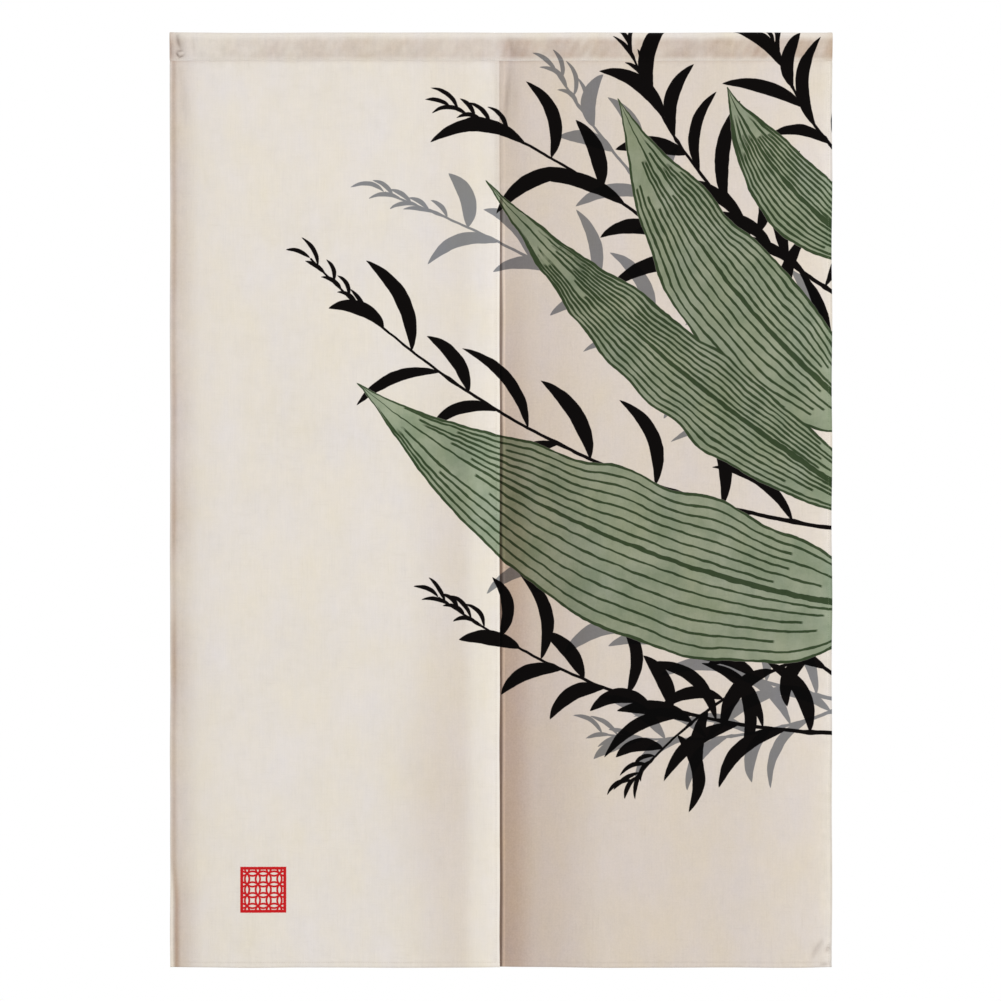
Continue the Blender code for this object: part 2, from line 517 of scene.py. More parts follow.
@dataclass(frozen=True)
class Leaf:
    """A broad leaf: its rib, its widest half width, how uneven its edge is, and its place on top."""

    rib: Sweep
    widest: float
    narrow_side: float
    waves: float
    layer: int

    def widths(self, along: Array, aside: Array, length: float) -> Array:
        """Half width at each place: narrower on the right, slowly waved, below nought past the ends."""
        half = Form.LEAF.half_width(along / length, self.widest) * np.where(aside > 0.0, 1.0, self.narrow_side)
        half = half + self.waves * ripple(self.layer + 5, 0.105, along, aside) * eased(0.0, 0.04, half)
        past = np.maximum(-along, along - length)
        return np.where(past > 0.0, -past, half)


@dataclass(frozen=True)
class Reed:
    """An inked reed: single arching blades leave its stem by turns, and a plume hangs at its tip."""

    stem: Sweep
    thick: float
    blades: int
    blade_length: float
    blade_width: float
    plume: int
    seed: int

    def strokes(self) -> list[Stroke]:
        """The stem, its blades, which rise and then arch over, and the short strokes of its plume."""
        draws = np.random.default_rng(self.seed)
        made = [Stroke(self.stem, Form.STEM, self.thick)]
        for count, share in enumerate(np.linspace(0.10, 0.84, self.blades)):
            side = 1.0 if count % 2 else -1.0
            swing = side * draws.uniform(18.0, 62.0)
            length = self.blade_length * draws.uniform(0.70, 1.20) * (1.0 - 0.25 * share)
            arch = draws.uniform(0.10, 0.20)
            width = self.blade_width * draws.uniform(0.80, 1.15)
            made.append(self.frond(share, swing, length, arch, width))
        for count, share in enumerate(np.linspace(0.88, 1.0, self.plume)):
            swing = (1.0 if count % 2 else -1.0) * draws.uniform(8.0, 30.0)
            length = draws.uniform(0.030, 0.048)
            made.append(self.frond(share, swing, length, draws.uniform(0.08, 0.20), 0.0030))
        return made

    def frond(self, share: float, swing: float, length: float, arch: float, width: float) -> Stroke:
        """One stroke from a place on the stem, turned from its way and arched over towards the foot."""
        place, way = self.stem.curve(np.array(share))
        turn = np.arctan2(way[1], way[0]) + np.radians(swing)
        tip = place + length * np.array([np.cos(turn), np.sin(turn)])
        return Stroke(Sweep(tuple(place), tuple(tip), float(np.sign(np.cos(turn)) * arch)), Form.BLADE, width)


def inked(reeds: Iterable[Reed]) -> list[Stroke]:
    """Every stroke of the reeds, in order."""
    return [stroke for reed in reeds for stroke in reed.strokes()]


# Leaves, the back ones first: rib, widest half width, share of the narrow side, waves, layer
LEAVES = (
    Leaf(Sweep((0.470, -0.500), (0.150, -0.085), 0.060), 0.078, 0.82, 0.0032, 0),
    Leaf(Sweep((0.480, -0.610), (-0.020, -0.190), 0.040), 0.058, 0.84, 0.0030, 1),
    Leaf(Sweep((0.480, -0.740), (-0.185, -0.450), 0.070), 0.112, 0.80, 0.0036, 2),
    Leaf(Sweep((0.470, -0.280), (0.290, -0.070), 0.080), 0.050, 0.82, 0.0024, 2),
)

# Reeds: stem, its half width, blades with their length and half width, strokes of the plume, seed
BLACK_REEDS = (
    Reed(Sweep((0.455, -0.640), (-0.245, -0.290), 0.090), 0.0028, 14, 0.135, 0.0092, 8, seed=11),
    Reed(Sweep((0.455, -0.500), (-0.065, -0.095), -0.060), 0.0030, 14, 0.132, 0.0096, 8, seed=12),
    Reed(Sweep((0.455, -0.350), (0.165, -0.020), 0.090), 0.0028, 13, 0.128, 0.0094, 6, seed=13),
    Reed(Sweep((0.455, -0.900), (-0.080, -0.725), 0.080), 0.0028, 15, 0.122, 0.0090, 8, seed=14),
    Reed(Sweep((0.455, -0.180), (0.350, -0.015), 0.060), 0.0026, 6, 0.108, 0.0080, 4, seed=15),
    Reed(Sweep((0.455, -0.780), (0.170, -0.960), -0.080), 0.0026, 11, 0.108, 0.0086, 7, seed=16),
    Reed(Sweep((0.455, -0.840), (0.300, -0.700), 0.060), 0.0026, 8, 0.112, 0.0092, 6, seed=17),
)

GREY_REEDS = (
    Reed(Sweep((0.455, -0.590), (-0.150, -0.205), -0.050), 0.0028, 13, 0.132, 0.0092, 8, seed=21),
    Reed(Sweep((0.455, -0.420), (0.070, -0.050), 0.060), 0.0028, 11, 0.122, 0.0092, 6, seed=22),
    Reed(Sweep((0.455, -0.860), (0.020, -0.640), 0.080), 0.0026, 12, 0.122, 0.0092, 6, seed=23),
    Reed(Sweep((0.455, -0.860), (0.130, -0.900), 0.070), 0.0024, 10, 0.110, 0.0076, 5, seed=24),
)

OFF_THE_PRINT = -0.05


@dataclass
class Print:
    """The print on one cloth: it lays leaves and strokes on the cloth's flat places as numbers."""

    across: Array
    height: Array
    kept: dict[str, Array] = field(default_factory=dict)
    hidden: Array | None = None

    PAD = 0.008
    UNDER = 0.0080

    def __post_init__(self) -> None:
        """Start with no place hidden under a leaf."""
        self.hidden = np.zeros(self.across.shape, dtype=bool)

    def lay_leaves(self, leaves: Iterable[Leaf]) -> None:
        """Keep (aside, half width, share of the way) of the leaf that holds each place."""
        for leaf in leaves:
            along, aside, length = leaf.rib.follow(self.across, self.height)
            half = leaf.widths(along, aside, length)
            near = (np.abs(aside) < half + self.PAD) & (half > -self.PAD)
            self.hidden |= half - np.abs(aside) > self.UNDER
            if near.any():
                store = self.layer(f"leaf_{leaf.layer}", 3)
                store[near] = np.stack([aside, half, along / length], axis=-1)[near]

    def lay_strokes(self, name: str, strokes: Iterable[Stroke]) -> int:
        """Keep (aside, half width) pairs of strokes, two pairs a layer, with no two strokes touching.

        What lies well under a leaf isn't kept.

        Args:
            name: start of the layers' names.
            strokes: the sweeps to ink.

        Returns:
            How many pairs were needed.
        """
        taken: list[Array] = []
        for stroke in strokes:
            along, aside, length = self.near_only(stroke)
            if along is None:
                continue
            half = stroke.widths(along, length)
            near = (np.abs(aside) < stroke.widest + self.PAD) & (half > -self.PAD) & ~self.hidden
            if not (near & (np.abs(aside) < half)).any():
                continue
            wide = grown(near)
            which = next((n for n, full in enumerate(taken) if not (full & wide).any()), len(taken))
            if which == len(taken):
                taken.append(np.zeros_like(near))
            taken[which] |= near
            store = self.layer(f"{name}_{which // 2}", 4)
            first = 2 * (which % 2)
            store[near, first] = aside[near]
            store[near, first + 1] = half[near]
        return len(taken)

    def lay_reeds(self) -> tuple[int, int]:
        """Lay the black reeds and then the grey ones, and say how many pairs each colour needed."""
        return self.lay_strokes("black", inked(BLACK_REEDS)), self.lay_strokes("grey", inked(GREY_REEDS))

    def near_only(self, stroke: Stroke) -> tuple[Array | None, Array, float]:
        """A stroke's along and aside where it may reach, and far values elsewhere."""
        points, _ = stroke.sweep.curve(np.linspace(0.0, 1.0, 9))
        room = 2.0 * stroke.widest + self.PAD
        low, high = points.min(axis=0) - room, points.max(axis=0) + room
        inside = (self.across > low[0]) & (self.across < high[0]) & (self.height > low[1]) & (self.height < high[1])
        if not inside.any():
            return None, self.across, 0.0
        along = np.full_like(self.across, -1.0)
        aside = np.full_like(self.across, 1.0)
        part_along, part_aside, length = stroke.sweep.follow(self.across[inside], self.height[inside])
        along[inside], aside[inside] = part_along, part_aside
        return along, aside, length

    def layer(self, name: str, wide: int) -> Array:
        """The kept numbers under a name, made with nothing printed if they aren't there."""
        if name not in self.kept:
            values = np.zeros((*self.across.shape, wide))
            values[..., 1::2] = OFF_THE_PRINT
            self.kept[name] = values
        return self.kept[name]


def inks_at(across: Array, height: Array) -> Array:
    """Leaf, grey and black, each 1 where a place of the cloth holds it and no leaf lies over it."""
    marks = Print(across, height)
    found = np.zeros((*across.shape, 3))
    for leaf in LEAVES:
        along, aside, length = leaf.rib.follow(across, height)
        found[np.abs(aside) < leaf.widths(along, aside, length) + 0.0015, 0] = 1.0
    for which, reeds in ((1, GREY_REEDS), (2, BLACK_REEDS)):
        for stroke in inked(reeds):
            along, aside, length = marks.near_only(stroke)
            if along is not None:
                found[(np.abs(aside) < stroke.widths(along, length)) & (found[..., 0] < 0.5), which] = 1.0
    return found


def grown(mask: Array) -> Array:
    """A mask spread by one place to each side."""
    wide = mask.copy()
    wide[1:] |= mask[:-1]
    wide[:-1] |= mask[1:]
    tall = wide.copy()
    tall[:, 1:] |= wide[:, :-1]
    tall[:, :-1] |= wide[:, 1:]
    return tall


# Finishes


@dataclass(frozen=True)
class Seal:
    """A red block-printed square of the old interlocked rings, on the left panel."""

    across: float = -0.3050
    height: float = -1.1000
    side: float = 0.0590
    ring: float = 0.0138
    line: float = 0.0026

    def mask(self, bench: Bench, x: Num, z: Num, wear: Num) -> Num:
        """Where the red is: a frame, and rings whose quarter arcs cross in every cell."""
        p, q = abs(x - self.across), abs(z - self.height)
        edge = p.most(q) * -1.0 + self.side / 2 + (wear - 0.5) * 0.0016
        border = edge.mask(0.0006) * (self.line * 1.5 - edge).mask(0.0006)
        u = abs((x - self.across) / self.ring % 1.0 - 0.5)
        v = abs((z - self.height) / self.ring % 1.0 - 0.5)
        far = bench.maths("SQRT", (u + 0.5) * (u + 0.5) + (0.5 - v) * (0.5 - v))
        other = bench.maths("SQRT", (0.5 - u) * (0.5 - u) + (v + 0.5) * (v + 0.5))
        gap = abs(far - 0.7071).least(abs(other - 0.7071)) * self.ring
        arcs = (self.line / 2 - gap + (wear - 0.5) * 0.0010).mask(0.0004)
        return border.most(arcs * (edge - self.line * 0.6).mask(0.0006)) * (wear - 0.27).mask(0.05)


@dataclass(frozen=True)
class Dyes:
    """What each ink lets through of the cloth's own colour."""

    leaf: Colour = (0.430, 0.525, 0.420)
    leaf_deep: Colour = (0.305, 0.405, 0.300)
    line: Colour = (0.140, 0.195, 0.122)
    grey: Colour = (0.300, 0.325, 0.365)
    black: Colour = (0.003, 0.002, 0.002)
    red: Colour = (0.720, 0.018, 0.024)
    # Colour of the painted shade that darkens the creases and lines the slit
    painted_shade: Colour = (0.36, 0.30, 0.28)


@dataclass(frozen=True)
class ClothFinish:
    """Printed cotton and linen plain weave, with aged tones, painted shade and highlights, loose slubs and a dull
    soft surface.
    """

    name: str
    fresh: Colour = (0.652, 0.606, 0.550)
    aged_and_shaded: Colour = (0.396, 0.293, 0.229)
    thread: float = 0.00082
    dyes: Dyes = Dyes()
    seal: Seal | None = None
    veins: int = 7
    line: float = 0.0036
    slit_shadow: bool = False

    def material(self, kept: Iterable[str]) -> bpy.types.Material:
        """The whole finish, with every layer of the print that the piece keeps.

        Args:
            kept: names of the numbers kept for each point.

        Returns:
            The finished material.
        """
        bench = Bench(self.name)
        x, z, side, _ = bench.stored("flat")
        place = bench.joined(x, side * 0.01, z)
        wobble = (bench.noise(place, 42.0, 2.0) - 0.5) * 0.0044
        wear = bench.noise(place, 900.0, 3.0, 0.65)
        front = (side * 2.0).least(1.0)
        colour = self.ground(bench, x, z, side, place)
        grey = self.strokes(bench, layers_named(kept, "grey"), wobble * 0.7)
        black = self.strokes(bench, layers_named(kept, "black"), wobble * 0.7 + (wear - 0.5) * 0.0008)
        cover, lines, deep = self.leaves(bench, layers_named(kept, "leaf"), wobble, place)
        bare = 1.0 - cover
        through = front * 0.72 + 0.28
        colour = bench.blend(grey * bare * through, colour, self.dyes.grey, "MULTIPLY")
        colour = bench.blend(black * bare * through, colour, self.dyes.black, "MULTIPLY")
        green = bench.blend(deep, self.dyes.leaf, self.dyes.leaf_deep)
        colour = bench.blend(cover * through, colour, green, "MULTIPLY")
        colour = bench.blend(lines * through, colour, self.dyes.line, "MULTIPLY")
        if self.seal:
            red = self.seal.mask(bench, x, z, wear) * (front * 0.85 + 0.15)
            colour = bench.blend(red, colour, self.dyes.red, "MULTIPLY")
        height, slub = self.weave(bench, x, z, side)
        colour = bench.blend(slub, colour, (0.80, 0.77, 0.72), "MULTIPLY")
        inked = black.most(lines) * front
        bump = bench.node("Bump", None, {"Strength": 0.55, "Distance": 0.00022, "Height": height})
        return bench.finish(
            {
                "Base Color": colour,
                "Roughness": 0.93 - inked * 0.12 + (wear - 0.5) * 0.08,
                "Normal": bump.outputs[0],
                "Sheen Weight": 0.02,
                "Sheen Roughness": 0.55,
                "Specular IOR Level": 0.04,
            }
        )

    def ground(
        self, bench: Bench, x: Num, z: Num, side: Num, place: bpy.types.NodeSocket
    ) -> bpy.types.NodeSocket:
        """The cloth's tone: fresh to aged and shaded by what each point keeps, mottled and streaked.

        Broad clouds, small mottles and threads drawn out along warp and weft change the light.
        A slow drift between pink and straw changes the hue. Painted shade darkens the creases, and on the right
        panel a painted shadow lines the slit beside a painted highlight.
        """
        # The tone's fourth part is the painted shade in the creases
        age_and_shade, shade, smudge, painted_shade = bench.stored("tone")
        clouds = bench.noise(place, 9.0, 3.0, 0.6) - 0.5
        mottle = bench.noise(place, 70.0, 4.0, 0.65) - 0.5
        warp = bench.noise(bench.joined(x * 4.2, 0.0, z * 0.16), 150.0, 3.0, 0.6) - 0.5
        weft = bench.noise(bench.joined(x * 0.34, 3.0, z * 5.0), 140.0, 2.0) - 0.5
        band = bench.noise(bench.joined(x * 1.6, 5.0, z * 0.30), 90.0, 3.0, 0.6) - 0.5
        hue = bench.noise(bench.joined(x, 7.0, z * 0.6), 15.0, 4.0, 0.62) - 0.5
        grain = bench.noise(place, 420.0, 2.0, 0.6) - 0.5
        # The share towards the aged colour carries both age and painted shade
        share = (age_and_shade + clouds * 0.08 + mottle * 0.06).maths("ADD", 0.0, clamp=True)
        colour = bench.blend(share, self.fresh, self.aged_and_shaded)
        light = shade + clouds * 0.085 + mottle * 0.080 + warp * 0.100 + weft * 0.040
        light = light + smudge * (band * 0.30 + mottle * 0.34) + grain * (0.05 + age_and_shade * 0.24)
        tint = hue * (0.30 + age_and_shade * 0.06)
        parts = {0: light + tint * 0.18, 1: light, 2: light - tint}
        colour = bench.blend(1.0, colour, bench.node("CombineColor", None, parts).outputs[0], "MULTIPLY")
        # Right panel: a painted highlight on its hem's ridge by the slit, and a painted shadow where the left panel
        # laps over it
        if self.slit_shadow:
            below = (SLIT_HEAD + 0.004 - z).mask(0.012) * side
            slit_highlight = (0.0011 - abs(x - 0.0042)).mask(0.0016) * (below * 0.7 + 0.3)
            colour = bench.blend(slit_highlight * 0.9, colour, (1.27, 1.24, 1.20), "MULTIPLY")
            painted_shade = painted_shade.most((0.0017 - x).mask(0.0012) * below * 0.80)
        return bench.blend(painted_shade, colour, self.dyes.painted_shade, "MULTIPLY")

    def strokes(self, bench: Bench, layers: Sequence[str], wobble: Num) -> Num:
        """Where ink is: inside the half width of any stroke kept in the named layers."""
        found = bench.maths("MULTIPLY", 0.0, 0.0)
        for layer in layers:
            aside, half, other, other_half = bench.stored(layer)
            first = (half - abs(aside + wobble)).mask(0.0005)
            second = (other_half - abs(other + wobble)).mask(0.0005)
            found = found.most(first).most(second)
        return found

    def leaves(
        self, bench: Bench, layers: Sequence[str], wobble: Num, place: bpy.types.NodeSocket
    ) -> tuple[Num, Num, Num]:
        """Where leaves, their lines and their deeper green are.

        The lines are the edge, a rib that thins towards the tip, and veins at even shares of the
        half width, which run with the edge and stop short by chance or where they would crowd.
        """
        cover = bench.maths("MULTIPLY", 0.0, 0.0)
        lines = bench.maths("MULTIPLY", 0.0, 0.0)
        deep = bench.noise(place, 30.0, 4.0, 0.6)
        uneven = bench.noise(place, 55.0, 2.0) - 0.5
        pen = self.line * (0.5 + uneven * 0.55)
        for which, layer in enumerate(layers):
            aside, half, share, _ = bench.stored(layer)
            off = aside + wobble
            edge = half - abs(off)
            fill = (edge + uneven * 0.006).mask(0.0008)
            tip = 1.0 - (share - 0.92).mask(0.16) * 0.65
            outline = (pen * tip - abs(edge)).mask(0.0006)
            rib = (pen * 2.0 * tip * (1.20 - share) - abs(off)).mask(0.0006) * edge.mask(0.0006)
            ratio = abs(off) / half.most(0.001) * self.veins
            nearest = (ratio + 0.5).floor()
            away = abs(ratio - nearest) * half / self.veins
            luck = bench.chance(nearest + off.mask(0.0002) * 31.0 + which * 7.0)
            begin = (share - luck * 0.16 - 0.03).mask(0.004)
            stop = (0.99 - bench.chance(nearest * 3.0 + luck) * 0.30 - share).mask(0.004)
            between = (nearest - 0.5).mask(0.01) * (self.veins - 0.5 - nearest).mask(0.01)
            between = between * (half / self.veins - pen * (1.0 + nearest % 2.0 * 0.9)).mask(0.0008)
            vein = (pen * 0.85 - away).mask(0.0006) * begin * stop * between * edge.mask(0.0006)
            ink = outline.most(rib).most(vein)
            lines = (lines * (1.0 - fill)).most(ink)
            cover = cover.most(fill).most(outline)
        return cover, lines, (deep - 0.48).mask(0.35)

    def weave(self, bench: Bench, x: Num, z: Num, side: Num) -> tuple[Num, Num]:
        """Height of the plain weave, and where thicker threads darken it.

        Warp and weft are round threads that pass over each other by turns. Both wander a little,
        and noise drawn out along each thread makes the slubs.
        """
        drift = (bench.noise(bench.joined(x, side, z), 260.0, 2.0) - 0.5) * 0.5
        u, v = x / self.thread + drift, z / self.thread + drift
        warp = abs((u * np.pi).sine())
        weft = abs((v * np.pi).sine())
        turn = ((u.floor() + v.floor()) % 2.0) * 0.5 + 0.25
        upright = bench.noise(bench.joined(x * 9.0, side, z * 0.22), 130.0, 2.0)
        level = bench.noise(bench.joined(x * 0.22, side + 4.0, z * 9.0), 130.0, 2.0)
        thick = (upright - 0.66).mask(0.10).most((level - 0.66).mask(0.10))
        height = warp * turn + weft * (1.0 - turn) + thick * 0.9
        return height, thick * 0.16


@dataclass(frozen=True)
class ThreadFinish:
    """Matt sewing thread with its twist in the bump."""

    name: str = "sewing_thread"
    colour: Colour = (0.560, 0.500, 0.420)
    dyes: Dyes = Dyes()

    def material(self) -> bpy.types.Material:
        """The whole finish: a little lighter and darker from stitch to stitch."""
        bench = Bench(self.name)
        place = bench.node("TexCoord").outputs["Object"]
        tone = bench.noise(place, 300.0, 1.0)
        leaf, grey, black, _ = bench.stored("inks")
        colour = bench.blend(tone, tuple(0.82 * part for part in self.colour), self.colour)
        for share, dye in ((leaf, self.dyes.leaf_deep), (grey, self.dyes.grey), (black, self.dyes.black)):
            colour = bench.blend(share, colour, dye, "MULTIPLY")
        twist = bench.noise(place, 5200.0, 1.0)
        bump = bench.node("Bump", None, {"Strength": 0.4, "Distance": 0.0001, "Height": twist})
        surface = {"Base Color": colour, "Roughness": 0.85, "Specular IOR Level": 0.10, "Normal": bump.outputs[0]}
        return bench.finish(surface)


@dataclass(frozen=True)
class FloorFinish:
    """Plain pale floor."""

    name: str = "pale_floor"
    colour: Colour = (0.86, 0.86, 0.85)

    def material(self) -> bpy.types.Material:
        """The whole finish."""
        bench = Bench(self.name)
        return bench.finish({"Base Color": (*self.colour, 1.0), "Roughness": 0.7})


# Pieces


def closed_sheet(name: str, middle: Array, half: Array) -> tuple[bpy.types.Object, Array]:
    """A closed thin sheet round a grid of middle points, with a rounded rim.

    The front layer is the middle moved by half the thickness along its normal, the back layer
    is the middle moved the other way, and one loop of points round the rim stands out by nearly
    half the thickness.

    Args:
        name: the object's name.
        middle: rows by columns of points, rows going down and columns to the right.
        half: half the thickness at each point.

    Returns:
        The object, and for each of its points the index of its grid point with its side, 1 for
        the front, 0 for the back and one half for the rim.
    """
    rows, columns = half.shape
    down = np.gradient(middle, axis=0)
    right = np.gradient(middle, axis=1)
    normal = unit(np.cross(down, right))
    front = middle + normal * half[..., None]
    back = middle - normal * half[..., None]

    grid = np.arange(rows * columns).reshape(rows, columns)
    loop = np.concatenate([grid[-1, :-1], grid[:0:-1, -1], grid[0, :0:-1], grid[:-1, 0]])
    out = np.zeros_like(middle)
    out[:, 0] -= unit(right[:, 0])
    out[:, -1] += unit(right[:, -1])
    out[0] -= unit(down[0])
    out[-1] += unit(down[-1])
    flat_middle, flat_out = middle.reshape(-1, 3), out.reshape(-1, 3)
    rim = flat_middle[loop] + flat_out[loop] * RIM * half.reshape(-1)[loop][:, None]

    total = rows * columns
    face = np.stack([grid[1:, :-1], grid[1:, 1:], grid[:-1, 1:], grid[:-1, :-1]], axis=-1).reshape(-1, 4)
    rim_at = 2 * total + np.arange(len(loop))
    here, following = loop, np.roll(loop, -1)
    rim_here, rim_following = rim_at, np.roll(rim_at, -1)
    front_rim = np.stack([following, here, rim_here, rim_following], axis=-1)
    back_rim = np.stack([rim_following, rim_here, here + total, following + total], axis=-1)
    faces = np.concatenate([face, face[:, ::-1] + total, front_rim, back_rim])
    points = np.concatenate([front.reshape(-1, 3), back.reshape(-1, 3), rim])
    source = np.concatenate([np.arange(total), np.arange(total), loop])
    side = np.concatenate([np.ones(total), np.zeros(total), np.full(len(loop), 0.5)])
    return put_mesh(name, points, faces), np.stack([source, side], axis=-1)


def keep_on_points(piece: bpy.types.Object, source: Array, values: dict[str, Array], flat: Array) -> None:
    """Give each point of a closed sheet its flat place with its side, and the grid's kept numbers."""
    index = source[:, 0].astype(int)
    place = np.column_stack([flat.reshape(-1, 2)[index], source[:, 1]])
    write_attribute(piece.data, "flat", place)
    for name, grid in values.items():
        write_attribute(piece.data, name, grid.reshape(-1, grid.shape[-1])[index])


# Age of the pocket's band at places across it: partly staining and partly painted shade where the strip turns in
# below its crown
BAND_PLACES = (-0.425, -0.385, -0.300, -0.200, -0.100, -0.006, 0.006, 0.018, 0.040, 0.200, 0.340, 0.425)
BAND_AGE_AND_SHADE = (0.34, 0.10, 0.30, 0.40, 0.38, 0.34, 0.72, 0.68, 0.60, 0.56, 0.66, 0.60)

# Age of the left panel by distance from its outer edge, and of the right one from its slit edge: partly brown
# staining and partly painted shade where the cloth turns away from the light
LEFT_EDGE_KNOTS = (0.0, 0.0014, 0.0038, 0.0062, 0.0100, 0.0190, 0.0280, 0.0385, 0.0700)
LEFT_EDGE_AGE_AND_SHADE = (0.14, 0.36, 0.70, 0.68, 0.36, 0.26, 0.14, 0.04, 0.00)
RIGHT_KNOTS = (
    0.007, 0.0150, 0.0250, 0.0340, 0.0510, 0.0830, 0.1350, 0.2630, 0.3270, 0.3780, 0.4040, 0.4190, 0.4280
)
RIGHT_AGE_AND_SHADE = (0.34, 0.34, 0.34, 0.34, 0.34, 0.34, 0.33, 0.33, 0.29, 0.24, 0.22, 0.16, 0.04)
SLIT_AGE_AND_SHADE = (0.56, 0.60, 0.58, 0.50, 0.29, 0.21, 0.03, 0.00, 0.00, 0.00, 0.00, 0.00, 0.00)


def layers_named(values: Iterable[str], name: str) -> list[str]:
    """The kept layers whose names start with a name, in order."""
    return sorted(key for key in values if key.startswith(f"{name}_"))


@dataclass
class Panel:
    """One hemmed cloth panel, hung from just under the pocket."""

    name: str
    node: str
    start: float
    end: float
    folds: tuple[Fold, ...]
    creases: tuple[Crease, ...]
    lap_side: float
    seal: Seal | None
    seed: int

    TOP = -0.0352

    def __post_init__(self) -> None:
        """Work out the grid of flat places, inset by as much as the rim stands out."""
        inset = 0.5 * RIM * HEM_LAYERS
        columns = spaced(self.start + inset, self.end - inset, HEM_LINES, HEM_LINES)
        rows = spaced(self.TOP, -DROP + inset, TOP_LINES, FOOT_LINES)
        self.across, self.height = np.meshgrid(columns, rows)

    def from_edges(self, across: Array, height: Array) -> tuple[Array, Array, Array]:
        """Distances of places from the panel's left edge, right edge and foot."""
        return across - self.start, self.end - across, height + DROP

    def set_back(self, across: Array, height: Array) -> Array:
        """How far the cloth's middle stands back at each flat place.

        The folds and the lap are the solid's, but the lap is pressed closer under the pocket.
        Listed creases, slow unevenness, small puckers along each hem and small gathers under
        the pocket are added to them.
        """
        pressed = 0.45 + 0.55 * eased(0.0, 0.030, -height - POCKET_DROP)
        back = self.lap_side * 0.5 * LAP_APART * pressed * np.exp(-(((across - SLIT_ACROSS) / LAP_REACH) ** 4))
        for shape in (*self.folds, *self.creases):
            back = back + shape.set_back(across, height)
        left, right, foot = self.from_edges(across, height)
        free = eased(0.05, 0.30, -height - POCKET_DROP)
        back = back + 0.00050 * free * ripple(self.seed, 0.16, across, height)
        back = back + 0.00016 * free * ripple(self.seed + 6, 0.045, across, 0.5 * height)
        hem = np.minimum(left, right)
        back = back + 0.00022 * bell((hem - 0.006) / 0.009) * ripple(self.seed + 1, 0.013, height)
        back = back + 0.00026 * bell((foot - 0.008) / 0.010) * ripple(self.seed + 2, 0.014, across)
        under = bell((height + POCKET_DROP) / 0.016) * eased(0.0, 0.004, -height - POCKET_DROP)
        return back + 0.00022 * under * ripple(self.seed + 3, 0.012, across)

    def half_thickness(self, across: Array, height: Array) -> Array:
        """One layer, three at the hems, and pressed thin along each line of stitches."""
        left, right, foot = self.from_edges(across, height)
        side = np.minimum(left, right)
        on_side = 1.0 - eased(SIDE_HEM, SIDE_HEM + HEM_STEP, side)
        on_foot = 1.0 - eased(FOOT_HEM, FOOT_HEM + HEM_STEP, foot)
        hemmed = np.maximum(on_side, on_foot) * eased(0.0, 0.005, self.TOP - height)
        pressed = np.maximum(bell((side - SIDE_STITCH) / 0.0009), bell((foot - FOOT_STITCH) / 0.0010))
        return 0.5 * (LAYER + (HEM_LAYERS - LAYER) * hemmed * (1.0 - 0.55 * pressed))

    def tone(self) -> Array:
        """Age with painted shade, painted shade and highlights, smudges, and the painted shade of the creases, told
        from the edges, the slit and the creases.
        """
        across, height = self.across, self.height
        left, right, foot = self.from_edges(across, height)
        above = eased(SLIT_HEAD - 0.005, SLIT_HEAD + 0.020, height)
        if self.lap_side < 0.0:
            low = eased(1.06, 1.12, -height)
            edge = np.interp(left - 0.0036 * low, LEFT_EDGE_KNOTS, LEFT_EDGE_AGE_AND_SHADE)
            age_and_shade = edge * (1.0 + 0.16 * ripple(self.seed + 7, 0.20, height) + 0.34 * low)
            age_and_shade = age_and_shade + 0.13 * bell((across + 0.097) / 0.050) * bell((height + 0.98) / 0.14)
            # Painted shade in the shallow pleat beside the slit
            pleat_shade = eased(-0.135, -0.054, across) * (1.0 - eased(-0.052, -0.030, across))
            age_and_shade = age_and_shade + 0.21 * pleat_shade * (0.4 + 0.6 * eased(0.35, 0.60, -height))
            age_and_shade = age_and_shade + 0.26 * np.exp(-right / 0.005) * above
            shade = 1.0 + (0.06 * bell(right / 0.022) + 0.07 * bell(right / 0.0055)) * (1.0 - above)
            shade = shade - 0.03 * bell((left - 0.0060) / 0.0018) + 0.12 * low * (1.0 - eased(0.0026, 0.0046, left))
        else:
            drawn = 0.30 + 0.70 * eased(0.20, 0.75, -height)
            age_and_shade = np.interp(left, RIGHT_KNOTS, RIGHT_AGE_AND_SHADE)
            age_and_shade = age_and_shade + np.interp(left, RIGHT_KNOTS, SLIT_AGE_AND_SHADE) * drawn
            shade = 1.0 + 0.08 * bell((right - 0.0047) / 0.0014) - 0.12 * (1.0 - eased(0.0016, 0.0036, right))
        shade = shade - 0.10 * bell(foot / 0.0014) - 0.03 * bell((foot - FOOT_HEM) / 0.0014)
        # Painted shade on the panel just under the pocket's lip
        age_and_shade = age_and_shade + 0.14 * bell((height + POCKET_DROP) / 0.0035)
        worn = left if self.lap_side < 0.0 else right
        smudge = 0.05 + 0.25 * bell((height + POCKET_DROP) / 0.010) + 0.30 * bell((worn - 0.008) / 0.012)
        # The fourth part is the painted shade in the creases
        return np.stack([age_and_shade, shade, smudge, crease_shade(self.creases, across, height)], axis=-1)

